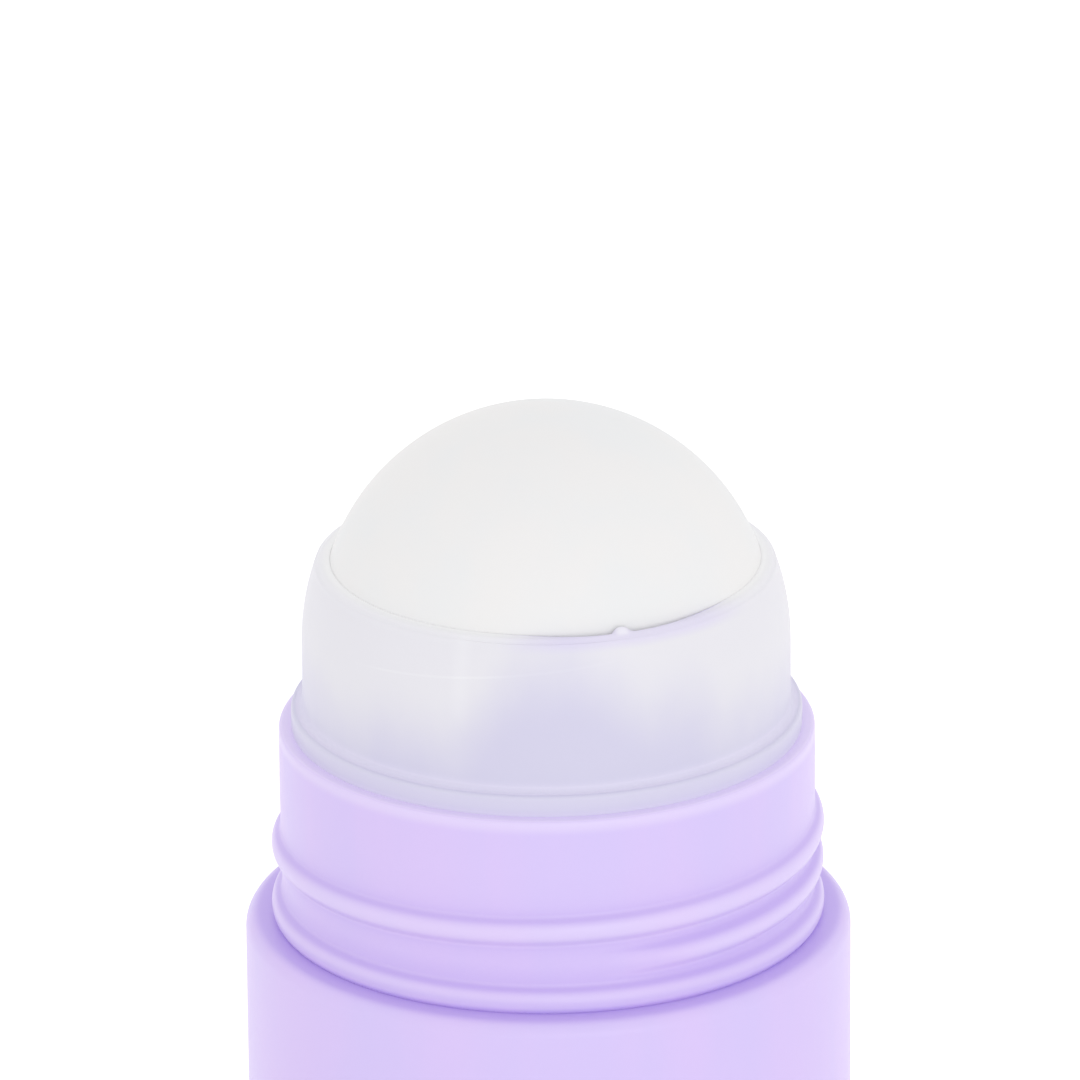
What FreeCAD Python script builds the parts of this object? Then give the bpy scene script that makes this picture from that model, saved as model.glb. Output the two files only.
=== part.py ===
import FreeCAD
import Part

import math
import os

# Roll-on bottle: a blow-moulded bottle with a screw neck, a moulded housing that snaps into the
# neck, and a hollow ball that rolls in the housing's socket and carries the liquid out.
# Millimetres. +Z is up the bottle's axis, and the origin is on the axis at the standing ring.

# Roller ball
BALL_DIAMETER = 35.56
BALL_WALL = 1.6

# Ball housing: socket, lip and the dome outside them
BALL_CLEARANCE = 0.15
HOUSING_WALL = 1.17
LIP_RISE = 5.8
LIP_INNER_FALL = 0.1
LIP_OUTER_FALL = 0.3
DOME_DROP = 1.0
SOCKET_RISE = 6.25

# Ball housing: flange that seats on the neck's rim
FLANGE_FILLET = 0.4
FLANGE_LAND = 0.2
FLANGE_EDGE = 0.3
FLANGE_THICKNESS = 1.65

# Ball housing: plug skirt inside the neck, with its snap bead
SKIRT_CLEARANCE = 0.08
SKIRT_WALL = 1.1
SKIRT_LENGTH = 9.0
SKIRT_LEAD = 0.5
BEAD_WIDTH = 1.8
BEAD_HEIGHT = 0.35
BEAD_PLACE_SHARE = 0.45

# Ball housing: bowl under the ball, with its feed hole and the ribs that carry the ball
BOWL_WALL = 1.0
FEED_HOLE_DIAMETER = 10.0
RIB_COUNT = 6
RIB_WIDTH = 1.4
RIB_HEIGHT = 0.85
RIB_HOLE_GAP = 2.0
RIB_TOP_ANGLE = 32.0

# Bottle: neck, with a plain band under the rim that guides the cap, and a slight draft below it
NECK_HEIGHT = 15.8
NECK_BAND = 5.8
NECK_DRAFT = 0.1
RIM_SEAT = 0.7
RIM_LAND = 0.65
RIM_ROUNDING = 0.35
BORE_CHAMFER = 0.25

# Bottle: thread on the neck, one rounded right-hand ridge
THREAD_PITCH = 3.05
THREAD_HEIGHT = 0.75
THREAD_ROUND = 1.2
THREAD_ROOT = 0.3
THREAD_FOOT_GAP = 0.5
THREAD_BAND_GAP = 0.18
THREAD_TOP_ANGLE = 100.0

# Bottle: bead round the foot of the neck, over the shoulder
FOOT_BEAD_HEIGHT = 0.75
FOOT_BEAD_ROUND = 1.2
FOOT_BEAD_RISE = 0.85

# Bottle: shoulder, body and base
BODY_HEIGHT = 40.0
BODY_WALL = 1.2
SHOULDER_LEDGE = 1.62
SHOULDER_ROUNDING = 1.2
SHOULDER_WALL = 1.3
BASE_ROUNDING = 3.5
BASE_WALL = 1.3
STANDING_RING_WIDTH = 2.2
PUSH_UP = 2.5

FULL_TURN = 360.0

# Radii, worked out from the ball outwards
ball_radius = BALL_DIAMETER / 2
socket_radius = ball_radius + BALL_CLEARANCE
housing_radius = socket_radius + HOUSING_WALL
flange_radius = housing_radius + FLANGE_FILLET + FLANGE_LAND + FLANGE_EDGE
bowl_radius = socket_radius + RIB_HEIGHT
bowl_back_radius = bowl_radius + BOWL_WALL
feed_hole_radius = FEED_HOLE_DIAMETER / 2
rim_land_radius = flange_radius + RIM_LAND
neck_radius = rim_land_radius + RIM_ROUNDING
bore_radius = flange_radius - RIM_SEAT
skirt_radius = bore_radius - SKIRT_CLEARANCE
skirt_bore_radius = skirt_radius - SKIRT_WALL
thread_crest_radius = neck_radius + THREAD_HEIGHT
thread_round_radius = thread_crest_radius - THREAD_ROUND
thread_root_radius = thread_round_radius - THREAD_ROOT
drafted_neck_radius = neck_radius - NECK_DRAFT
foot_bead_crest_radius = neck_radius + FOOT_BEAD_HEIGHT
foot_bead_round_radius = foot_bead_crest_radius - FOOT_BEAD_ROUND
ledge_radius = neck_radius + SHOULDER_LEDGE
body_radius = ledge_radius + SHOULDER_ROUNDING
body_bore_radius = body_radius - BODY_WALL
ring_outer_radius = body_radius - BASE_ROUNDING
ring_inner_radius = ring_outer_radius - STANDING_RING_WIDTH
push_up_radius = (ring_inner_radius ** 2 + PUSH_UP ** 2) / (2 * PUSH_UP)

# Heights, worked out from the base upwards
rim_z = BODY_HEIGHT + NECK_HEIGHT
rounding_z = rim_z - RIM_ROUNDING
band_z = rounding_z - NECK_BAND
foot_bead_z = BODY_HEIGHT + FOOT_BEAD_RISE
thread_low_z = foot_bead_z + FOOT_BEAD_ROUND + THREAD_FOOT_GAP + THREAD_ROUND
thread_top_z = band_z - THREAD_BAND_GAP - THREAD_ROUND
thread_rise = thread_top_z - thread_low_z
thread_turn = FULL_TURN * thread_rise / THREAD_PITCH
bead_z = rim_z - SKIRT_LENGTH * BEAD_PLACE_SHARE
ball_z = rim_z + FLANGE_THICKNESS + SOCKET_RISE

ORIGIN = FreeCAD.Vector(0, 0, 0)
UP = FreeCAD.Vector(0, 0, 1)
OUTWARDS = FreeCAD.Vector(1, 0, 0)


def across(radius, offset):
    """Half the chord of a circle of that radius, at an offset from its centre."""
    return math.sqrt(radius ** 2 - offset ** 2)


class Section:
    """A closed outline in the XZ plane, drawn point by point from a first point."""

    def __init__(self, radius, z):
        self.first = FreeCAD.Vector(radius, 0, z)
        self.last = self.first
        self.edges = []

    def line(self, radius, z):
        end = FreeCAD.Vector(radius, 0, z)
        self.edges.append(Part.LineSegment(self.last, end).toShape())
        self.last = end

    def arc(self, via_radius, via_z, radius, z):
        end = FreeCAD.Vector(radius, 0, z)
        via = FreeCAD.Vector(via_radius, 0, via_z)
        self.edges.append(Part.Arc(self.last, via, end).toShape())
        self.last = end

    def arc_about(self, centre_radius, centre_z, radius, z):
        """An arc about a centre, the short way round to its end."""
        centre = FreeCAD.Vector(centre_radius, 0, centre_z)
        end = FreeCAD.Vector(radius, 0, z)
        halfway = (self.last - centre).normalize() + (end - centre).normalize()
        via = centre + halfway.normalize() * (end - centre).Length
        self.arc(via.x, via.z, radius, z)

    def face(self):
        """The outline's face, closed by a line where its last point isn't its first."""
        if not self.last.isEqual(self.first, Part.Precision.confusion()):
            self.line(self.first.x, self.first.z)
        return Part.Face(Part.Wire(self.edges))

    def turned(self):
        """The outline turned once round the Z axis."""
        return self.face().revolve(ORIGIN, UP, FULL_TURN)


def bottle_outside():
    """The bottle's outer form, solid up to the axis: base, body, shoulder, foot bead and neck."""
    shoulder_z = BODY_HEIGHT - SHOULDER_ROUNDING
    foot_bead_low_radius = foot_bead_round_radius + across(FOOT_BEAD_ROUND, FOOT_BEAD_RISE)
    foot_bead_top_z = foot_bead_z + across(FOOT_BEAD_ROUND, drafted_neck_radius - foot_bead_round_radius)
    outline = Section(0, rim_z)
    outline.line(0, PUSH_UP)
    outline.arc_about(0, PUSH_UP - push_up_radius, ring_inner_radius, 0)
    outline.line(ring_outer_radius, 0)
    outline.arc_about(ring_outer_radius, BASE_ROUNDING, body_radius, BASE_ROUNDING)
    outline.line(body_radius, shoulder_z)
    outline.arc_about(ledge_radius, shoulder_z, ledge_radius, BODY_HEIGHT)
    outline.line(foot_bead_low_radius, BODY_HEIGHT)
    outline.arc(foot_bead_crest_radius, foot_bead_z, drafted_neck_radius, foot_bead_top_z)
    outline.line(neck_radius, band_z)
    outline.line(neck_radius, rounding_z)
    outline.arc_about(rim_land_radius, rounding_z, rim_land_radius, rim_z)
    return outline.turned()


def bottle_inside():
    """The room inside the bottle, with the groove in the neck that the housing's bead snaps into."""
    corner_radius = body_bore_radius - ring_outer_radius
    corner_z = BASE_WALL + corner_radius
    shoulder_radius = body_bore_radius - bore_radius
    shoulder_top_z = BODY_HEIGHT - SHOULDER_WALL
    shoulder_z = shoulder_top_z - shoulder_radius
    floor_z = BASE_WALL + PUSH_UP
    half_groove = BEAD_WIDTH / 2 + SKIRT_CLEARANCE
    outline = Section(0, rim_z)
    outline.line(0, floor_z)
    outline.arc_about(0, floor_z - push_up_radius, ring_inner_radius, BASE_WALL)
    outline.line(ring_outer_radius, BASE_WALL)
    outline.arc_about(ring_outer_radius, corner_z, body_bore_radius, corner_z)
    outline.line(body_bore_radius, shoulder_z)
    outline.arc_about(bore_radius, shoulder_z, bore_radius, shoulder_top_z)
    outline.line(bore_radius, bead_z - half_groove)
    outline.arc(bore_radius + BEAD_HEIGHT, bead_z, bore_radius, bead_z + half_groove)
    outline.line(bore_radius, rim_z - BORE_CHAMFER)
    outline.line(bore_radius + BORE_CHAMFER, rim_z)
    return outline.turned()


def thread_end():
    """The thread's domed lower end: half its section, turned about a line out through its crest."""
    half_ridge = Section(thread_root_radius, 0)
    half_ridge.line(thread_crest_radius, 0)
    half_ridge.arc_about(thread_round_radius, 0, thread_round_radius, THREAD_ROUND)
    half_ridge.line(thread_root_radius, THREAD_ROUND)
    return half_ridge.face().revolve(ORIGIN, OUTWARDS, FULL_TURN / 2)


def neck_thread():
    """The ridge that winds up the neck, rooted in its wall and domed at both ends."""
    ridge = Section(thread_root_radius, -THREAD_ROUND)
    ridge.line(thread_round_radius, -THREAD_ROUND)
    ridge.arc(thread_crest_radius, 0, thread_round_radius, THREAD_ROUND)
    ridge.line(thread_root_radius, THREAD_ROUND)
    helix = Part.makeHelix(THREAD_PITCH, thread_rise, thread_round_radius)
    winding = Part.Wire(helix.Edges).makePipeShell([ridge.face().OuterWire], True, True)
    top_end = thread_end()
    top_end.rotate(ORIGIN, OUTWARDS, FULL_TURN / 2)
    top_end.rotate(ORIGIN, UP, thread_turn)
    top_end.translate(UP * thread_rise)
    thread = winding.fuse([thread_end(), top_end])
    thread.rotate(ORIGIN, UP, THREAD_TOP_ANGLE - thread_turn)
    thread.translate(UP * thread_low_z)
    return thread


def bottle():
    return bottle_outside().fuse(neck_thread()).cut(bottle_inside())


def housing_wall():
    """The housing's one moulded wall, about the ball's centre: socket, bowl, skirt, flange and dome."""
    lip_inner_z = LIP_RISE - LIP_INNER_FALL
    lip_outer_z = LIP_RISE - LIP_OUTER_FALL
    lip_inner_radius = across(socket_radius, lip_inner_z)
    lip_outer_radius = across(housing_radius, lip_outer_z + DOME_DROP)
    lip_middle_radius = (lip_inner_radius + lip_outer_radius) / 2
    seat_z = rim_z - ball_z
    flange_top_z = seat_z + FLANGE_THICKNESS
    flange_edge_z = flange_top_z - FLANGE_EDGE
    fillet_z = flange_top_z + FLANGE_FILLET
    skirt_low_z = seat_z - SKIRT_LENGTH
    bead_middle_z = bead_z - ball_z
    half_bead = BEAD_WIDTH / 2

    wall = Section(lip_inner_radius, lip_inner_z)
    wall.arc_about(0, 0, socket_radius, 0)
    wall.line(socket_radius, -across(bowl_radius, socket_radius))
    wall.arc_about(0, 0, feed_hole_radius, -across(bowl_radius, feed_hole_radius))
    wall.line(feed_hole_radius, -across(bowl_back_radius, feed_hole_radius))
    wall.arc_about(0, 0, skirt_bore_radius, -across(bowl_back_radius, skirt_bore_radius))
    wall.line(skirt_bore_radius, skirt_low_z)
    wall.line(skirt_radius - SKIRT_LEAD, skirt_low_z)
    wall.line(skirt_radius, skirt_low_z + SKIRT_LEAD)
    wall.line(skirt_radius, bead_middle_z - half_bead)
    wall.arc(skirt_radius + BEAD_HEIGHT, bead_middle_z, skirt_radius, bead_middle_z + half_bead)
    wall.line(skirt_radius, seat_z)
    wall.line(flange_radius, seat_z)
    wall.line(flange_radius, flange_edge_z)
    wall.arc_about(flange_radius - FLANGE_EDGE, flange_edge_z, flange_radius - FLANGE_EDGE, flange_top_z)
    wall.line(housing_radius + FLANGE_FILLET, flange_top_z)
    wall.arc_about(housing_radius + FLANGE_FILLET, fillet_z, housing_radius, fillet_z)
    wall.line(housing_radius, -DOME_DROP)
    wall.arc_about(0, -DOME_DROP, lip_outer_radius, lip_outer_z)
    wall.arc(lip_middle_radius, LIP_RISE, lip_inner_radius, lip_inner_z)
    return wall.turned()


def bowl_rib():
    """One rib down the bowl, which carries the ball and leaves the liquid a way past it."""
    root_radius = bowl_radius + BOWL_WALL / 2
    top = math.radians(RIB_TOP_ANGLE)
    foot = math.acos((feed_hole_radius + RIB_HOLE_GAP) / bowl_radius)
    rib = Section(socket_radius * math.cos(top), -socket_radius * math.sin(top))
    rib.arc_about(0, 0, socket_radius * math.cos(foot), -socket_radius * math.sin(foot))
    rib.line(root_radius * math.cos(foot), -root_radius * math.sin(foot))
    rib.arc_about(0, 0, root_radius * math.cos(top), -root_radius * math.sin(top))
    plate = rib.face().extrude(FreeCAD.Vector(0, RIB_WIDTH, 0))
    plate.translate(FreeCAD.Vector(0, -RIB_WIDTH / 2, 0))
    return plate


def ball_housing():
    ribs = []
    for index in range(RIB_COUNT):
        rib = bowl_rib()
        rib.rotate(ORIGIN, UP, FULL_TURN * index / RIB_COUNT)
        ribs.append(rib)
    housing = housing_wall().fuse(ribs)
    housing.translate(UP * ball_z)
    return housing


def roller_ball():
    ball = Part.makeSphere(ball_radius).cut(Part.makeSphere(ball_radius - BALL_WALL))
    ball.translate(UP * ball_z)
    return ball


PIECES = {
    "bottle": bottle,
    "ball_housing": ball_housing,
    "roller_ball": roller_ball,
}


def main():
    os.makedirs("parts", exist_ok=True)
    for name, make in PIECES.items():
        shape = make()
        shape.exportStep(f"parts/{name}.step")
        print(name, "solids", len(shape.Solids), "valid", shape.isValid(), "volume", round(shape.Volume))


if __name__ == "__main__":
    main()
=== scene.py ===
import math

import bmesh
import bpy
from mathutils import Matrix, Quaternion, Vector


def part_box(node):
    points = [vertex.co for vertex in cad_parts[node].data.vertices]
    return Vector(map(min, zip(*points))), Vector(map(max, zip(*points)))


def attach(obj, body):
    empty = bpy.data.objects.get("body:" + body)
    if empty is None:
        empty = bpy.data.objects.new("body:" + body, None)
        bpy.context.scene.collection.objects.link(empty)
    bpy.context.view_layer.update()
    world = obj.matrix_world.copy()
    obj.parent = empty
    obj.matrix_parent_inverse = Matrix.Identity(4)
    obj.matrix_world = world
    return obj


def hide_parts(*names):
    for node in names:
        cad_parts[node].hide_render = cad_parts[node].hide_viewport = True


bl_info = {
    "name": "Roll-on bottle",
    "version": (1, 0, 0),
    "blender": (4, 5, 0),
    "location": "3D View > Sidebar > Roll-on",
    "description": "Makes a roll-on bottle with its ball housing and ball, and the stage that shows it",
    "category": "Add Mesh",
}

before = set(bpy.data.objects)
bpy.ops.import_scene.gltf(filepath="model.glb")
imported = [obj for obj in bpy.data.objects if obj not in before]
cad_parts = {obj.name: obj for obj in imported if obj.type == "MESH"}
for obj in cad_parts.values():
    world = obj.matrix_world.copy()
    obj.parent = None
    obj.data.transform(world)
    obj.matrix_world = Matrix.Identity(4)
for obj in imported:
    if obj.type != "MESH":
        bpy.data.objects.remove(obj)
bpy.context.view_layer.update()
_, bottle_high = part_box("bottle")
housing_low, housing_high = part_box("ball_housing")
ball_low, ball_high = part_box("roller_ball")
BALL_CENTRE = (ball_low + ball_high) / 2
MM = 0.001
TURN = 2 * math.pi

BOTTLE_SECTORS = 256
HOUSING_SECTORS = 360
BALL_CUTS = 47
BALL_INSIDE_CUTS = 19
SHARP_ANGLE = math.radians(40)


# Properties


def length(name, description, default):
    """A length in metres."""
    return bpy.props.FloatProperty(
        name=name, description=description, default=default, min=0, precision=5, unit="LENGTH", subtype="DISTANCE"
    )


def angle(name, description, degrees):
    return bpy.props.FloatProperty(
        name=name, description=description, default=math.radians(degrees), unit="ROTATION", subtype="ANGLE"
    )


def number(name, description, default):
    return bpy.props.FloatProperty(name=name, description=description, default=default, min=0)


def colour(name, description, default):
    return bpy.props.FloatVectorProperty(
        name=name, description=description, default=default, min=0, max=1, size=3, subtype="COLOR"
    )


class BottleProperties(bpy.types.PropertyGroup):
    """Sizes and colours of the bottle."""

    body_radius: length("Body radius", "Outside radius of the body", bottle_high.x)
    body_height: length("Body height", "From the standing ring up to the shoulder's ledge", 40 * MM)
    body_wall: length("Body wall", "Thickness of the body's wall", 1.2 * MM)
    shoulder_rounding: length("Shoulder rounding", "Radius between the body and the ledge", 1.2 * MM)
    shoulder_wall: length("Shoulder wall", "Thickness of the shoulder", 1.3 * MM)
    neck_radius: length("Neck radius", "Outside radius of the neck under its rim", 21 * MM)
    neck_draft: length("Neck draft", "How much thinner the neck is over its foot bead", 0.1 * MM)
    neck_band: length("Neck band", "From the rim down to where the draft starts", 6.15 * MM)
    neck_bore: length("Neck bore", "Inside radius of the neck", 19.3 * MM)
    rim_rounding: length("Rim rounding", "Radius on the rim's outer edge", 0.35 * MM)
    rim_chamfer: length("Rim chamfer", "Chamfer on the rim's inner edge", 0.25 * MM)
    base_rounding: length("Base rounding", "Radius between the body and the standing ring", 3.5 * MM)
    base_wall: length("Base wall", "Thickness of the base", 1.3 * MM)
    ring_width: length("Standing ring", "Width of the ring that the bottle stands on", 2.2 * MM)
    push_up: length("Push-up", "Rise of the base inside its standing ring", 2.5 * MM)
    groove_drop: length("Groove drop", "From the rim down to the groove that holds the housing's bead", 4.05 * MM)
    groove_width: length("Groove width", "Height of that groove", 1.96 * MM)
    groove_depth: length("Groove depth", "Depth of that groove", 0.35 * MM)
    thread_pitch: length("Thread pitch", "Rise of the thread in one turn", 3.05 * MM)
    thread_height: length("Thread height", "How far the thread stands out of the neck", 0.75 * MM)
    thread_crest: length("Thread crest", "Radius of the thread's rounded crest", 1.2 * MM)
    thread_root: length("Thread root", "Radius of the fillets beside the thread", 0.5 * MM)
    thread_drop: length("Thread drop", "From the ball's centre down to the thread's crest at the right", 16.27 * MM)
    thread_top: angle("Thread top", "Where the thread starts, from the right round to the back", 100)
    thread_low: angle("Thread foot", "Where the thread ends, from the right round by the front", -440)
    thread_fade: angle("Thread run-out", "Length over which each end of the thread sinks into the neck", 32)
    foot_bead_rise: length("Foot bead rise", "From the ledge up to the crest of the neck's foot bead", 0.85 * MM)
    plastic: colour("Plastic", "Colour of the moulded plastic", (0.72, 0.58, 0.95))
    cool: colour("Cool streaks", "Colour of the plastic's cooler flow streaks", (0.69, 0.58, 0.95))
    # Painted shade: this deeper purple laid in up-facing creases stands in for their shadow.
    crease_shade: colour("Creases", "Deeper colour of the plastic in its creases", (0.60, 0.47, 0.89))
    # Painted highlight: this paler colour on the thread's crests and the rim's rounding stands in for light falling on
    # them, and on the rim's land it lifts the shade.
    crest: colour("Crests", "Paler colour of the plastic on its crests", (0.84, 0.75, 0.99))


class HousingProperties(bpy.types.PropertyGroup):
    """Sizes and colours of the ball housing."""

    socket_radius: length("Socket radius", "Radius of the round that the ball turns in", 17.93 * MM)
    wall: length("Wall", "Thickness of the wall round the socket", 1.17 * MM)
    dome_drop: length("Dome drop", "How far the outer dome's centre lies under the ball's", 1.0 * MM)
    lip_rise: length("Lip rise", "From the ball's centre up to the lip's crown", housing_high.z - BALL_CENTRE.z)
    lip_inner_fall: length("Lip inner fall", "From the lip's crown down to its inner edge", 0.1 * MM)
    lip_outer_fall: length("Lip outer fall", "From the lip's crown down to its outer edge", 0.3 * MM)
    lip_hug: length("Lip hug", "How far the lip's edge leans in to the ball", 0.1495 * MM)
    lip_feather: length("Lip feather", "How far the lip's thin edge runs up the ball where it hugs it", 0.12 * MM)
    lip_slack: length("Lip slack", "How far the lip's edge stands open at the front right", 0.36 * MM)
    lip_groove: length("Lip groove", "Depth of the fine groove round the lip's outer edge", 0.16 * MM)
    nub_place: angle("Nub place", "Where the lip's gate nub stands, from the right round by the front", -70.4)
    nub_width: length("Nub width", "Width of the nub that the mould's gate leaves on the lip", 1.25 * MM)
    nub_height: length("Nub height", "Height of that nub", 0.45 * MM)
    flange_radius: length("Flange radius", "Outside radius of the flange", housing_high.x)
    flange_drop: length("Flange drop", "From the ball's centre down to the flange's top", 6.25 * MM)
    flange_fillet: length("Flange fillet", "Radius between the wall and the flange", 0.4 * MM)
    flange_edge: length("Flange edge", "Radius on the flange's top edge", 0.3 * MM)
    skirt_radius: length("Skirt radius", "Outside radius of the skirt in the neck", 19.22 * MM)
    skirt_wall: length("Skirt wall", "Thickness of the skirt", 1.1 * MM)
    skirt_lead: length("Skirt lead", "Chamfer at the skirt's foot", 0.5 * MM)
    bead_drop: length("Bead drop", "From the rim down to the bead's middle", 4.05 * MM)
    bead_width: length("Bead width", "Height of the snap bead", 1.8 * MM)
    bead_height: length("Bead height", "How far the snap bead stands out", 0.35 * MM)
    rib_height: length("Rib height", "How far the ribs stand out of the bowl", 0.85 * MM)
    rib_width: length("Rib width", "Width of each rib", 1.4 * MM)
    bowl_wall: length("Bowl wall", "Thickness of the bowl", 1.0 * MM)
    hole_radius: length("Feed hole", "Radius of the feed hole in the bowl", 5.0 * MM)
    upper: colour("Upper plastic", "Colour of the translucent plastic beside the ball", (0.81, 0.80, 0.85))
    # Painted light: the lilac of the neck and bowl seen through the wall is painted into this colour.
    lower: colour("Lower plastic", "Colour of the translucent plastic over the neck", (0.66, 0.64, 0.81))
    # Painted highlight: colour of a painted reflection streak and a painted bright line.
    weld: colour("Weld", "Colour of the weld streak and the witness line", (0.9, 0.9, 0.93))
    # Painted light: paler colour laid in the flange's crease and at its seat, where shade falls.
    flange_light: colour("Thick plastic", "Colour in the flange's crease and at its seat", (0.88, 0.84, 0.98))
    # Painted shade: the lilac laid inside the open slot and on its crown stands in for the shade in the gap.
    slot: colour("Slot", "Colour inside the lip where it stands open", (0.66, 0.58, 0.92))
    # Painted light: the pale colour laid on the lip's edge where it hugs the ball lifts the shade in the contact.
    edge: colour("Edge", "Colour of the lip's edge where it hugs the ball", (0.91, 0.91, 0.92))
    # Painted highlight: the near-white laid on the top of the gate's nub.
    nub: colour("Nub", "Colour of the gate's nub", (0.96, 0.96, 0.98))


class BallProperties(bpy.types.PropertyGroup):
    """Sizes and colours of the ball."""

    radius: length("Radius", "Outside radius of the ball", ball_high.x)
    wall: length("Wall", "Thickness of the hollow ball's wall", 1.6 * MM)
    plastic: colour("Plastic", "Colour of the ground plastic", (0.86, 0.86, 0.86))


class StageProperties(bpy.types.PropertyGroup):
    """Floor, light and camera."""

    floor: colour("Floor", "Colour of the floor", (0.9, 0.9, 0.9))
    floor_glow: number("Floor glow", "How much brighter than lit the camera sees the floor", 0.4)
    surround: number("Surround", "Strength of the soft light from all round", 1.08)
    overhead: number("Overhead", "Strength of that light from straight above, as a share", 0.8)
    backdrop: number("Backdrop", "Strength of the light that the wall behind adds", 0.18)
    key: number("Key", "Power of the large soft lamp in front, in watts", 1.0)
    distance: length("Camera distance", "From the camera to the ball's centre", 900 * MM)
    elevation: angle("Camera elevation", "Height of the camera over the ball, as an angle", 21.4)
    roll: angle("Camera roll", "Turn of the camera about its own axis", -0.45)


# Turned pieces


class Outline:
    """Half a cross-section, drawn as a pen line of (radius, height) points, each with the zone it lies in."""

    def __init__(self, radius, z, zone=""):
        self.points = [(radius, z, zone)]

    @property
    def last(self):
        return self.points[-1][:2]

    def line(self, radius, z, steps=1, zone=""):
        first_radius, first_z = self.last
        for step in range(1, steps + 1):
            share = step / steps
            self.points.append((first_radius + (radius - first_radius) * share, first_z + (z - first_z) * share, zone))

    def arc(self, centre_radius, centre_z, radius, z, steps=6, zone=""):
        """An arc about a centre, the short way round."""
        first_radius, first_z = self.last
        start = math.atan2(first_z - centre_z, first_radius - centre_radius)
        sweep = math.atan2(z - centre_z, radius - centre_radius) - start
        sweep = (sweep + math.pi) % TURN - math.pi
        size = math.hypot(radius - centre_radius, z - centre_z)
        for step in range(1, steps):
            turn = start + sweep * step / steps
            self.points.append((centre_radius + size * math.cos(turn), centre_z + size * math.sin(turn), zone))
        self.points.append((radius, z, zone))

    def curve(self, via_radius, via_z, radius, z, steps, zone=""):
        """A parabola through a middle point to an end."""
        first_radius, first_z = self.last
        for step in range(1, steps + 1):
            share = step / steps
            first, via, end = (1 - share) * (1 - 2 * share), 4 * share * (1 - share), share * (2 * share - 1)
            at_radius = first_radius * first + via_radius * via + radius * end
            self.points.append((at_radius, first_z * first + via_z * via + z * end, zone))


def turned(name, outline, sectors, shapes):
    """A mesh object made by turning an outline round the Z axis. A line from axis to axis closes in two poles, and
    any other line closes on itself. shapes gives for a zone the function that moves its (radius, z) at an angle."""
    points = list(outline.points)
    poles = points[0][0] == 0
    if not poles and points[0][:2] == points[-1][:2]:
        points.pop()
    rows = points[1:-1] if poles else points
    vertices = []
    for radius, z, zone in rows:
        shape = shapes.get(zone)
        for sector in range(sectors):
            turn = TURN * sector / sectors
            at_radius, at_z = shape(radius, z, turn) if shape else (radius, z)
            vertices.append((at_radius * math.cos(turn), at_radius * math.sin(turn), at_z))
    faces = []
    for row in range(len(rows) - 1 if poles else len(rows)):
        here = row * sectors
        above = (row + 1) % len(rows) * sectors
        for sector in range(sectors):
            beside = (sector + 1) % sectors
            faces.append((here + sector, here + beside, above + beside, above + sector))
    if poles:
        first, last = len(vertices), len(vertices) + 1
        vertices += [(0, 0, points[0][1]), (0, 0, points[-1][1])]
        top = (len(rows) - 1) * sectors
        for sector in range(sectors):
            beside = (sector + 1) % sectors
            faces.append((first, beside, sector))
            faces.append((last, top + sector, top + beside))
    mesh = bpy.data.meshes.new(name)
    mesh.from_pydata(vertices, [], faces)
    return finished(mesh)


def finished(mesh):
    """A mesh's object, smooth except at its sharp edges, with its faces turned outwards."""
    work = bmesh.new()
    work.from_mesh(mesh)
    bmesh.ops.recalc_face_normals(work, faces=work.faces)
    work.to_mesh(mesh)
    work.free()
    mesh.shade_smooth()
    mesh.set_sharp_from_angle(angle=SHARP_ANGLE)
    piece = bpy.data.objects.new(mesh.name, mesh)
    bpy.context.scene.collection.objects.link(piece)
    return piece


def dress(piece, material, node, body):
    """Gives a piece its material and sets it on its body in its node's place."""
    piece.data.materials.append(material)
    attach(piece, body)
    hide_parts(node)


def across(radius, offset):
    """Half the chord of a circle, at an offset from its centre."""
    return math.sqrt(radius ** 2 - offset ** 2)


# Materials


class Value:
    """A number at a socket. Python's operators on it add Math nodes."""

    def __init__(self, finish, socket):
        self.finish = finish
        self.socket = socket

    def math(self, operation, *numbers, clamp=False):
        settings = {"operation": operation, "use_clamp": clamp}
        node = self.finish.node("ShaderNodeMath", settings, dict(enumerate(numbers)))
        return Value(self.finish, node.outputs[0])

    def __add__(self, other):
        return self.math("ADD", self, other)

    __radd__ = __add__

    def __sub__(self, other):
        return self.math("SUBTRACT", self, other)

    def __rsub__(self, other):
        return self.math("SUBTRACT", other, self)

    def __mul__(self, other):
        return self.math("MULTIPLY", self, other)

    __rmul__ = __mul__

    def __pow__(self, other):
        return self.math("POWER", self, other)

    def larger(self, other):
        return self.math("MAXIMUM", self, other)

    def within(self):
        """The number held between 0 and 1."""
        return self.math("ADD", self, 0, clamp=True)


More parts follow.
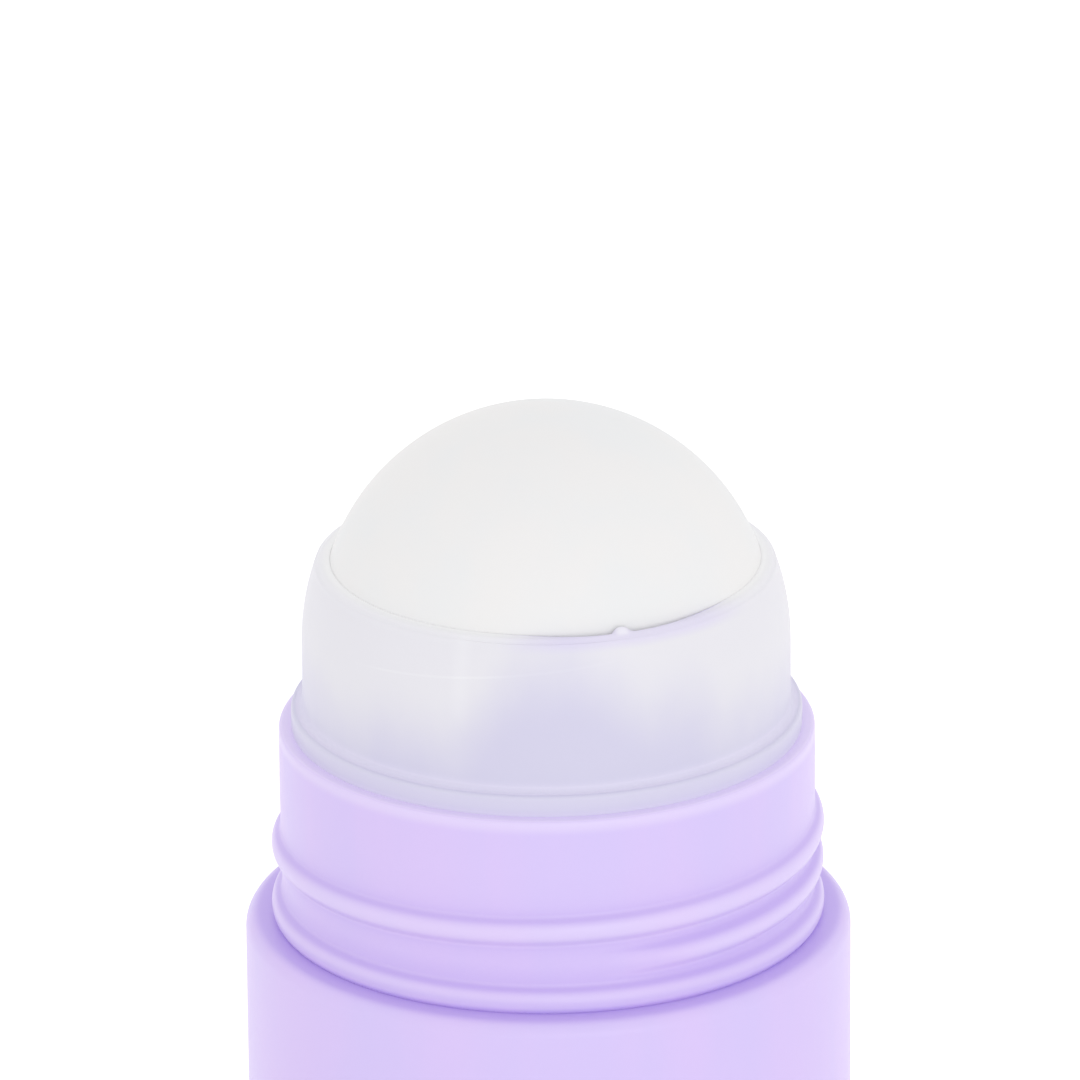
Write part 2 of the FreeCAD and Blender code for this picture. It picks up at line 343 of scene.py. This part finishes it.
class Finish:
    """A node tree that is written as expressions."""

    def __init__(self, owner):
        owner.use_nodes = True
        self.tree = owner.node_tree
        self.tree.nodes.clear()

    def node(self, kind, settings=None, inputs=None):
        """A node of a kind. Its settings are set first, then its sockets are given values or links."""
        node = self.tree.nodes.new(kind)
        for name, setting in (settings or {}).items():
            setattr(node, name, setting)
        for key, given in (inputs or {}).items():
            socket = given.socket if isinstance(given, Value) else given
            if isinstance(socket, bpy.types.NodeSocket):
                self.tree.links.new(socket, node.inputs[key])
            else:
                node.inputs[key].default_value = socket
        return node

    def value(self, kind, settings=None, inputs=None, output=0):
        return Value(self, self.node(kind, settings, inputs).outputs[output])

    def place(self, space="Object"):
        """The point on the piece, and its coordinates as three values."""
        point = self.node("ShaderNodeTexCoord").outputs[space]
        split = self.node("ShaderNodeSeparateXYZ", None, {0: point})
        return point, [Value(self, split.outputs[axis]) for axis in range(3)]

    def noise(self, point, scale, detail, stretch=(1, 1, 1)):
        """Noise over a point, in features about 1 / scale metres across."""
        size = self.node("ShaderNodeVectorMath", {"operation": "MULTIPLY"}, {0: point, 1: stretch}).outputs[0]
        settings = {"noise_dimensions": "3D"}
        return self.value("ShaderNodeTexNoise", settings, {"Vector": size, "Scale": scale, "Detail": detail})

    def faces_up(self):
        """1 where the surface faces up or level and 0 where it faces down."""
        shape = self.node("ShaderNodeNewGeometry")
        split = self.node("ShaderNodeSeparateXYZ", None, {0: shape.outputs["Normal"]})
        return self.ramp(Value(self, split.outputs[2]), -0.35, 0.1)

    def closeness(self, reach):
        """How much of the piece itself stands round a point within a reach, from 0 in the open to 1 in a crack."""
        settings = {"samples": 12, "only_local": True}
        return 1 - self.value("ShaderNodeAmbientOcclusion", settings, {"Distance": reach}, "AO")

    def ramp(self, value, low, high):
        """Smoothly from 0 where a value is low to 1 where it is high."""
        settings = {"interpolation_type": "SMOOTHSTEP"}
        return self.value("ShaderNodeMapRange", settings, {"Value": value, "From Min": low, "From Max": high})

    def blend(self, share, one, other):
        """A colour between two, by a share."""
        settings = {"data_type": "RGBA", "blend_type": "MIX"}
        return self.node("ShaderNodeMix", settings, {0: share, 6: one, 7: other}).outputs[2]

    def near(self, value, place, far, close):
        """1 where a value lies within a close distance of a place, and 0 past a far one."""
        return self.ramp(value.math("ABSOLUTE", value - place), far, close)

    def bump(self, height, distance, strength):
        inputs = {"Height": height, "Distance": distance, "Strength": strength}
        return self.node("ShaderNodeBump", None, inputs).outputs[0]

    def show(self, shader):
        self.tree.links.new(shader.outputs[0], self.node("ShaderNodeOutputMaterial").inputs["Surface"])


def rgba(shade):
    return (*shade, 1.0)


def bottle_plastic(properties):
    """Satin lilac plastic with faint flow streaks up the wall and a fine moulded skin, with painted shade in its
    up-facing creases and painted highlights on the thread's crests and the rim.
    """
    material = bpy.data.materials.new("lilac_moulded_plastic")
    finish = Finish(material)
    point, (x, y, z) = finish.place()
    streaks = finish.noise(point, 160, 3, (1, 1, 0.12))
    clouds = finish.noise(point, 60, 2)
    skin = finish.noise(point, 1500, 3)
    flow = finish.ramp(streaks * 0.6 + clouds * 0.4, 0.38, 0.62)
    shade = finish.blend(flow, rgba(properties.plastic), rgba(properties.cool))
    ledge = properties.body_height
    rim_top = bottle_high.z
    over_ledge = finish.ramp(z, ledge + 0.2 * MM, ledge + 0.6 * MM)
    out = (x * x + y * y) ** 0.5 - properties.neck_radius
    # Painted highlight: the thread's crests are laid paler.
    crest = finish.ramp(out, 0.3 * MM, properties.thread_height) * over_ledge
    # Painted highlight on the rim's rounding, and painted light on the rim's land that lifts its shade.
    land = finish.ramp(z, rim_top - 0.15 * MM, rim_top - 0.03 * MM)
    rim = finish.ramp(z, rim_top - 1.3 * MM, rim_top - 0.4 * MM) * (1 - land)
    # Painted shade: up-facing creases are laid darker towards the crease colour, as if in shadow.
    crease_shade = finish.ramp(finish.closeness(4 * MM), 0.01, 0.13) * finish.faces_up() * (1 - rim) * (1 - land)
    shade = finish.blend(crease_shade, shade, rgba(properties.crease_shade))
    shade = finish.blend((crest * 0.3).larger(rim * 0.5).larger(land * 0.6), shade, rgba(properties.crest))
    inputs = {
        "Base Color": shade,
        "Roughness": 0.3 + skin * 0.12,
        "IOR": 1.47,
        "Normal": finish.bump(skin, 0.02 * MM, 0.35),
    }
    finish.show(finish.node("ShaderNodeBsdfPrincipled", None, inputs))
    return material


def housing_plastic(properties):
    """Frosted plastic, whitish beside the ball, with the lilac of the bowl and the neck showing through painted into
    its colour, and painted highlights and shade on the lip and the flange.
    """
    material = bpy.data.materials.new("frosted_housing_plastic")
    finish = Finish(material)
    point, (x, y, z) = finish.place()
    socket = properties.socket_radius
    seat = bottle_high.z - BALL_CENTRE.z
    height = z - BALL_CENTRE.z
    reach = (x * x + y * y + height * height) ** 0.5
    front = x.math("ARCTAN2", x, 0 - y)
    skin = finish.noise(point, 1200, 3)
    haze = finish.noise(point, 170, 3, (1, 1, 0.6))
    blotches = finish.noise(point, 55, 1, (1, 1, 0))

    # The painted show-through lilac stands highest in the middle of the front
    middle = finish.near(front, 0.01, 0.46, 0.06) * (7 * MM)
    right = finish.near(front, 0.5, 0.35, 0.1) * (2.6 * MM)
    left = finish.near(front, -0.65, 0.35, 0.1) * (0.9 * MM)
    line = middle + right + left + blotches * (4 * MM) + (haze - 0.5) * (4 * MM) - 4.8 * MM
    above_show_through = finish.ramp(height - line, -5 * MM, 4 * MM)

    # Painted highlights: a faint vertical streak of reflected light and a thin, slightly tilted bright line
    weld = finish.near(front, -0.36, 0.06, 0) * finish.ramp(height, -3 * MM, 1 * MM)
    glint = finish.near(height - x * 0.11, 3.4 * MM, 0.14 * MM, 0.04 * MM) * finish.near(front, -0.3, 0.65, 0.35)
    highlights = (weld * 0.22 + glint * haze * 0.5).within()
    upper = finish.blend(highlights, rgba(properties.upper), rgba(properties.weld))
    shade = finish.blend(above_show_through, rgba(properties.lower), upper)

    # Paler at the flange: painted light that lifts the shade in the flange's crease and at its seat
    foot = finish.ramp(height, seat + 0.5 * MM, seat) * 0.25
    flange = finish.ramp(height, seat + 1.8 * MM, seat + 1.3 * MM) * 0.11
    flange_light = finish.ramp(finish.closeness(1.2 * MM), 0.08, 0.4).larger(foot + flange)
    shade = finish.blend(flange_light * finish.ramp(height, -4 * MM, -5.5 * MM), shade, rgba(properties.flange_light))

    # The lip: painted lilac shade in the slot where it stands open, painted light where it hugs the ball, lifting the
    # shade at its edge, and a painted highlight on the gate's nub
    inside = finish.ramp(reach, socket + 0.25 * MM, socket)
    crown = finish.ramp(height, 4.6 * MM, 5.5 * MM)
    opened = finish.near(front, 0.4, 0.7, 0.3)
    shade = finish.blend(inside.larger(crown * 0.35) * opened, shade, rgba(properties.slot))
    # Painted light on the hugging edge, lifting its shade.
    hug_light = finish.ramp(reach, socket + 1.0 * MM, socket) * crown * (1 - opened)
    shade = finish.blend(hug_light, shade, rgba(properties.edge))
    # Painted highlight: the top of the nub is laid near white.
    nub = finish.near(front, TURN / 4 + properties.nub_place, 0.04, 0.012)
    shade = finish.blend(nub * finish.ramp(height, 5.6 * MM, 5.9 * MM) * 0.45, shade, rgba(properties.nub))
    inputs = {
        "Base Color": shade,
        "Roughness": 0.4 + skin * 0.1,
        "IOR": 1.5,
        "Normal": finish.bump(skin, 0.02 * MM, 0.4),
    }
    finish.show(finish.node("ShaderNodeBsdfPrincipled", None, inputs))
    return material


def ball_plastic(properties):
    """Ground satin plastic, off-white, with a very fine grain."""
    material = bpy.data.materials.new("ground_ball_plastic")
    finish = Finish(material)
    point, _ = finish.place()
    grain = finish.noise(point, 2600, 2)
    clouds = finish.noise(point, 110, 3)
    warm = tuple(channel * change for channel, change in zip(properties.plastic, (1.012, 1.0, 0.998)))
    cool = tuple(channel * change for channel, change in zip(properties.plastic, (0.99, 0.995, 1.004)))
    shade = finish.blend(finish.ramp(clouds, 0.35, 0.65), rgba(warm), rgba(cool))
    inputs = {
        "Base Color": shade,
        "Roughness": 0.46 + grain * 0.14,
        "IOR": 1.5,
        "Normal": finish.bump(grain, 0.015 * MM, 0.4),
    }
    finish.show(finish.node("ShaderNodeBsdfPrincipled", None, inputs))
    return material


# Pieces


def bottle_outline(sizes):
    """The bottle's wall, from the middle of the base round the outside to the rim and back inside to the base."""
    rim = bottle_high.z
    ledge = sizes.body_height
    neck = sizes.neck_radius
    bore = sizes.neck_bore
    body = sizes.body_radius
    rounding = sizes.shoulder_rounding
    ring = body - sizes.base_rounding
    ring_inside = ring - sizes.ring_width
    push_up_radius = (ring_inside ** 2 + sizes.push_up ** 2) / (2 * sizes.push_up)
    rim_land = neck - sizes.rim_rounding
    room = body - sizes.body_wall
    corner = room - ring
    groove = rim - sizes.groove_drop
    half_groove = sizes.groove_width / 2
    groove_radius = (half_groove ** 2 + sizes.groove_depth ** 2) / (2 * sizes.groove_depth)
    groove_centre = bore + sizes.groove_depth - groove_radius
    hollow_top = ledge - sizes.shoulder_wall
    hollow_rounding = room - bore
    crest = sizes.thread_crest
    bead = neck + sizes.thread_height - crest
    bead_z = ledge + sizes.foot_bead_rise
    drafted = neck - sizes.neck_draft
    fillet = drafted + sizes.thread_root
    fillet_rise = across(crest + sizes.thread_root, fillet - bead)
    meet = crest / (crest + sizes.thread_root)
    outline = Outline(0, sizes.push_up)
    outline.arc(0, sizes.push_up - push_up_radius, ring_inside, 0, 14)
    outline.line(ring, 0, 2)
    outline.arc(ring, sizes.base_rounding, body, sizes.base_rounding, 12)
    outline.line(body, ledge - rounding, 16)
    outline.arc(body - rounding, ledge - rounding, body - rounding, ledge, 10)
    outline.line(bead + across(crest, sizes.foot_bead_rise), ledge, 4)
    outline.arc(bead, bead_z, bead + (fillet - bead) * meet, bead_z + fillet_rise * meet, 12)
    outline.arc(fillet, bead_z + fillet_rise, drafted, bead_z + fillet_rise, 6)
    outline.line(neck, rim - sizes.neck_band, 64, "neck")
    outline.line(neck, rim - sizes.rim_rounding, 24, "neck")
    outline.arc(rim_land, rim - sizes.rim_rounding, rim_land, rim, 6)
    outline.line(bore + sizes.rim_chamfer, rim, 2)
    outline.line(bore, rim - sizes.rim_chamfer, 1)
    outline.line(bore, groove + half_groove, 2)
    outline.arc(groove_centre, groove, bore, groove - half_groove, 8)
    outline.line(bore, hollow_top, 4)
    outline.arc(bore, hollow_top - hollow_rounding, room, hollow_top - hollow_rounding, 8)
    outline.line(room, sizes.base_wall + corner, 10)
    outline.arc(ring, sizes.base_wall + corner, ring, sizes.base_wall, 8)
    outline.line(ring_inside, sizes.base_wall, 2)
    outline.arc(0, sizes.base_wall + sizes.push_up - push_up_radius, 0, sizes.base_wall + sizes.push_up, 10)
    return outline


def thread_shape(sizes):
    """The function that raises the thread out of the neck: a rounded crest with a fillet on each side."""
    both = sizes.thread_crest + sizes.thread_root
    reach = math.sqrt(sizes.thread_height * (2 * both - sizes.thread_height))
    tangent = reach * sizes.thread_crest / both
    right = BALL_CENTRE.z - sizes.thread_drop

    def section(offset):
        offset = abs(offset)
        if offset >= reach:
            return 0
        if offset >= tangent:
            return sizes.thread_root - across(sizes.thread_root, reach - offset)
        return sizes.thread_height - sizes.thread_crest + across(sizes.thread_crest, offset)

    def shape(radius, z, turn):
        rise = 0
        for lap in range(-2, 1):
            along = turn + lap * TURN
            if sizes.thread_low < along < sizes.thread_top:
                end = min(along - sizes.thread_low, sizes.thread_top - along) / sizes.thread_fade
                share = math.sin(min(end, 1) * math.pi / 2)
                rise = max(rise, share * section(z - right - sizes.thread_pitch * along / TURN))
        return radius + rise, z

    return shape


def housing_outline(sizes):
    """The housing's one wall, from the lip's inner edge down the socket and bowl, up the skirt and over the dome."""
    centre = BALL_CENTRE.z
    socket = sizes.socket_radius
    outer = socket + sizes.wall
    bowl = socket + sizes.rib_height
    back = bowl + sizes.bowl_wall
    hole = sizes.hole_radius
    skirt = sizes.skirt_radius
    skirt_bore = skirt - sizes.skirt_wall
    foot = housing_low.z
    seat = bottle_high.z
    inner_edge = sizes.lip_rise - sizes.lip_inner_fall
    outer_edge = sizes.lip_rise - sizes.lip_outer_fall
    lip_in = across(socket, inner_edge)
    lip_out = across(outer, outer_edge + sizes.dome_drop)
    crown = (lip_in + lip_out) / 2
    bead = seat - sizes.bead_drop
    half_bead = sizes.bead_width / 2
    bead_radius = (half_bead ** 2 + sizes.bead_height ** 2) / (2 * sizes.bead_height)
    flange = sizes.flange_radius
    edge = sizes.flange_edge
    flange_top = centre - sizes.flange_drop
    fillet = sizes.flange_fillet
    outline = Outline(lip_in, centre + inner_edge, "lip")
    outline.arc(0, centre, socket, centre, 24, "lip")
    outline.line(socket, centre - across(bowl, socket), 6)
    outline.arc(0, centre, hole, centre - across(bowl, hole), 30, "bowl")
    outline.line(hole, centre - across(back, hole), 3)
    outline.arc(0, centre, skirt_bore, centre - across(back, skirt_bore), 24)
    outline.line(skirt_bore, foot, 3)
    outline.line(skirt - sizes.skirt_lead, foot, 2)
    outline.line(skirt, foot + sizes.skirt_lead, 2)
    outline.line(skirt, bead - half_bead, 4)
    outline.arc(skirt + sizes.bead_height - bead_radius, bead, skirt, bead + half_bead, 8)
    outline.line(skirt, seat, 3)
    outline.line(flange, seat, 2)
    outline.line(flange, flange_top - edge, 4)
    outline.arc(flange - edge, flange_top - edge, flange - edge, flange_top, 6)
    outline.line(outer + fillet, flange_top, 2)
    outline.arc(outer + fillet, flange_top + fillet, outer, flange_top + fillet, 6)
    outline.line(outer, centre - sizes.dome_drop, 10)
    outline.arc(0, centre - sizes.dome_drop, lip_out, centre + outer_edge, 36, "lip")
    outline.curve(crown, centre + sizes.lip_rise, lip_in, centre + inner_edge, 14, "lip")
    return outline


def smooth(low, high, number):
    """Smoothly from 0 where a number is low to 1 where it is high."""
    share = min(max((number - low) / (high - low), 0), 1)
    return share * share * (3 - 2 * share)


def lip_shape(sizes):
    """The function that fits the lip to the ball: it hugs the ball, stands a little open at the front right, and
    carries the nub of the mould's gate and a fine groove round its outer edge."""
    centre = BALL_CENTRE.z
    socket = sizes.socket_radius
    inner_edge = centre + sizes.lip_rise - sizes.lip_inner_fall
    lip_in = across(socket, sizes.lip_rise - sizes.lip_inner_fall)
    lip_out = across(socket + sizes.wall, sizes.lip_rise - sizes.lip_outer_fall + sizes.dome_drop)
    land = lip_out - lip_in
    ball_lean = 0.349
    nub_lean = 0.45
    edge_width = 0.2 * MM
    groove_width = 0.13 * MM
    groove_place = lip_out - 0.12 * MM
    on_land = inner_edge - 0.02 * MM

    def on_inner(radius, z):
        """1 on the socket's wall, fading out over the lip's land."""
        if z > on_land:
            return smooth(lip_in + 0.75 * land, lip_in, radius)
        return 1 if abs(math.hypot(radius, z - centre) - socket) < 0.01 * MM else 0

    def shape(radius, z, turn):
        front = math.degrees((turn + TURN * 3 / 4) % TURN) - 180
        inner = on_inner(radius, z)
        top = smooth(inner_edge - 1.2 * MM, inner_edge, z)
        opened = smooth(-12, 16, front) * smooth(58, 24, front)
        feather = math.exp(-((radius - lip_in) / edge_width) ** 2) * inner * top * (1 - opened) * sizes.lip_feather
        radius += inner * top * (opened * sizes.lip_slack - sizes.lip_hug) - feather * ball_lean
        z += feather
        if z > inner_edge - 0.4 * MM:
            groove = math.exp(-((radius - groove_place) / groove_width) ** 2) * sizes.lip_groove
            z -= groove * (0.35 + 0.65 * smooth(-30, -6, front) * smooth(25, 8, front))
        aside = (turn - sizes.nub_place + math.pi) % TURN - math.pi
        bump = math.exp(-((aside * lip_in) / (sizes.nub_width / 2)) ** 4)
        rise = sizes.nub_height * bump * inner * smooth(inner_edge - 0.5 * MM, inner_edge, z)
        return radius - nub_lean * rise, z + rise

    return shape


def rib_shape(sizes):
    """The function that raises ribs out of the bowl to the round that the ball turns in."""
    count = 6
    hole_gap = 2 * MM
    bowl = sizes.socket_radius + sizes.rib_height
    top = math.radians(32)
    foot = math.acos((sizes.hole_radius + hole_gap) / bowl)
    share = sizes.socket_radius / bowl
    step = TURN / count

    def shape(radius, z, turn):
        off = (turn + step / 2) % step - step / 2
        down = math.atan2(BALL_CENTRE.z - z, radius)
        if abs(off) * radius < sizes.rib_width / 2 and top < down < foot:
            return radius * share, BALL_CENTRE.z + (z - BALL_CENTRE.z) * share
        return radius, z

    return shape


def round_shell(work, radius, cuts):
    """Adds to a bmesh a sphere of even square faces about the ball's centre."""
    made = bmesh.ops.create_cube(work, size=2)
    edges = {edge for vertex in made["verts"] for edge in vertex.link_edges}
    bmesh.ops.subdivide_edges(work, edges=list(edges), cuts=cuts, use_grid_fill=True)
    shell = [vertex for vertex in work.verts if not vertex.tag]
    for vertex in shell:
        even = Vector([math.tan(part * math.pi / 4) for part in vertex.co])
        vertex.co = BALL_CENTRE + even.normalized() * radius
        vertex.tag = True


class ROLLON_OT_bottle(bpy.types.Operator):
    """Make the bottle with its threaded neck"""

    bl_idname = "rollon.bottle"
    bl_label = "Bottle"

    def execute(self, context):
        sizes = context.scene.rollon_bottle
        piece = turned("bottle_shell", bottle_outline(sizes), BOTTLE_SECTORS, {"neck": thread_shape(sizes)})
        dress(piece, bottle_plastic(sizes), "bottle", "bottle")
        return {"FINISHED"}


class ROLLON_OT_housing(bpy.types.Operator):
    """Make the translucent housing that holds the ball"""

    bl_idname = "rollon.housing"
    bl_label = "Ball housing"

    def execute(self, context):
        sizes = context.scene.rollon_housing
        shapes = {"bowl": rib_shape(sizes), "lip": lip_shape(sizes)}
        piece = turned("ball_housing_shell", housing_outline(sizes), HOUSING_SECTORS, shapes)
        dress(piece, housing_plastic(sizes), "ball_housing", "bottle")
        return {"FINISHED"}


class ROLLON_OT_ball(bpy.types.Operator):
    """Make the hollow ball"""

    bl_idname = "rollon.ball"
    bl_label = "Ball"

    def execute(self, context):
        sizes = context.scene.rollon_ball
        work = bmesh.new()
        round_shell(work, sizes.radius, BALL_CUTS)
        outside = list(work.faces)
        round_shell(work, sizes.radius - sizes.wall, BALL_INSIDE_CUTS)
        inside = [face for face in work.faces if face not in set(outside)]
        bmesh.ops.reverse_faces(work, faces=inside)
        mesh = bpy.data.meshes.new("roller_ball_shell")
        work.to_mesh(mesh)
        work.free()
        mesh.shade_smooth()
        piece = bpy.data.objects.new(mesh.name, mesh)
        context.scene.collection.objects.link(piece)
        dress(piece, ball_plastic(sizes), "roller_ball", "ball")
        return {"FINISHED"}


# Stage


def background_rays(finish):
    """1 for the rays that show the background: the camera's own and mirrored ones."""
    path = finish.node("ShaderNodeLightPath")
    camera, glossy = (Value(finish, path.outputs[name]) for name in ("Is Camera Ray", "Is Glossy Ray"))
    return camera.larger(glossy)


def make_floor(look):
    """A wide pale floor under the bottle."""
    half = 4.0
    mesh = bpy.data.meshes.new("floor")
    mesh.from_pydata([(-half, -half, 0), (half, -half, 0), (half, half, 0), (-half, half, 0)], [], [(0, 1, 2, 3)])
    floor = bpy.data.objects.new("floor", mesh)
    bpy.context.scene.collection.objects.link(floor)
    material = bpy.data.materials.new("pale_floor")
    finish = Finish(material)
    paper = finish.node("ShaderNodeBsdfDiffuse", None, {"Color": rgba(look.floor)})
    strength = background_rays(finish) * look.floor_glow
    glow = finish.node("ShaderNodeEmission", None, {"Color": (1, 1, 1, 1), "Strength": strength})
    finish.show(finish.node("ShaderNodeAddShader", None, {0: paper.outputs[0], 1: glow.outputs[0]}))
    mesh.materials.append(material)


def make_surround(look):
    """Soft white light from all round, weaker from above and stronger from behind, seen as plain white."""
    world = bpy.data.worlds.new("white_surround")
    bpy.context.scene.world = world
    finish = Finish(world)
    _, (_, back, up) = finish.place("Generated")
    wall = finish.ramp(back, 0.1, 0.6) * finish.ramp(up, 0.75, 0.5)
    light = look.surround * (1 - finish.ramp(up, 0.1, 0.8) * (1 - look.overhead)) + wall * look.backdrop
    seen = background_rays(finish)
    strength = light + seen * (1 - light)
    glow = finish.node("ShaderNodeBackground", None, {"Color": (1, 1, 1, 1), "Strength": strength})
    output = finish.node("ShaderNodeOutputWorld")
    finish.tree.links.new(glow.outputs[0], output.inputs["Surface"])


def make_lamp(name, place, size, power):
    """A soft square lamp that faces the ball."""
    data = bpy.data.lights.new(name, "AREA")
    data.size = size
    data.energy = power
    lamp = bpy.data.objects.new(name, data)
    lamp.location = place
    lamp.rotation_mode = "QUATERNION"
    lamp.rotation_quaternion = (BALL_CENTRE - lamp.location).to_track_quat("-Z", "Y")
    lamp.visible_camera = False
    bpy.context.scene.collection.objects.link(lamp)


def make_camera(look):
    """The photograph's camera: it looks at the ball, then turns until the ball lies at its place in the picture."""
    picture = 1080
    focus = 11532
    ball_x, ball_y = 545.4, 626.0
    data = bpy.data.cameras.new("photograph_camera")
    data.sensor_width = 36
    data.lens = focus / picture * data.sensor_width
    data.clip_start = 0.01
    data.clip_end = 50
    camera = bpy.data.objects.new("photograph_camera", data)
    back = Vector((0, -math.cos(look.elevation), math.sin(look.elevation)))
    camera.location = BALL_CENTRE + back * look.distance
    pitch = Quaternion((1, 0, 0), math.atan((ball_y - picture / 2) / focus))
    yaw = Quaternion((0, 1, 0), math.atan((ball_x - picture / 2) / focus))
    roll = Quaternion((0, 0, 1), look.roll)
    camera.rotation_mode = "QUATERNION"
    camera.rotation_quaternion = (-back).to_track_quat("-Z", "Y") @ pitch @ yaw @ roll
    bpy.context.scene.collection.objects.link(camera)
    bpy.context.scene.camera = camera


class ROLLON_OT_stage(bpy.types.Operator):
    """Make the floor, the light and the camera"""

    bl_idname = "rollon.stage"
    bl_label = "Stage"

    def execute(self, context):
        look = context.scene.rollon_stage
        make_floor(look)
        make_surround(look)
        make_lamp("front_lamp", place=(0.25, -0.8, 0.12), size=0.6, power=look.key)
        make_camera(look)
        context.scene.view_settings.view_transform = "Standard"
        return {"FINISHED"}


class ROLLON_PT_pieces(bpy.types.Panel):
    """The bottle's pieces and the stage"""

    bl_idname = "ROLLON_PT_pieces"
    bl_label = "Roll-on bottle"
    bl_space_type = "VIEW_3D"
    bl_region_type = "UI"
    bl_category = "Roll-on"

    def draw(self, context):
        for operator, group in PIECES:
            box = self.layout.box()
            box.operator(operator.bl_idname)
            properties = getattr(context.scene, group)
            for name in properties.__annotations__:
                box.prop(properties, name)


PIECES = (
    (ROLLON_OT_bottle, "rollon_bottle"),
    (ROLLON_OT_housing, "rollon_housing"),
    (ROLLON_OT_ball, "rollon_ball"),
    (ROLLON_OT_stage, "rollon_stage"),
)

GROUPS = {
    "rollon_bottle": BottleProperties,
    "rollon_housing": HousingProperties,
    "rollon_ball": BallProperties,
    "rollon_stage": StageProperties,
}


def register():
    for name, group in GROUPS.items():
        bpy.utils.register_class(group)
        setattr(bpy.types.Scene, name, bpy.props.PointerProperty(type=group))
    for operator, _ in PIECES:
        bpy.utils.register_class(operator)
    bpy.utils.register_class(ROLLON_PT_pieces)


def unregister():
    bpy.utils.unregister_class(ROLLON_PT_pieces)
    for operator, _ in reversed(PIECES):
        bpy.utils.unregister_class(operator)
    for name, group in reversed(GROUPS.items()):
        delattr(bpy.types.Scene, name)
        bpy.utils.unregister_class(group)


def main():
    register()
    bpy.ops.rollon.bottle()
    bpy.ops.rollon.housing()
    bpy.ops.rollon.ball()
    bpy.ops.rollon.stage()


if __name__ == "__main__":
    main()
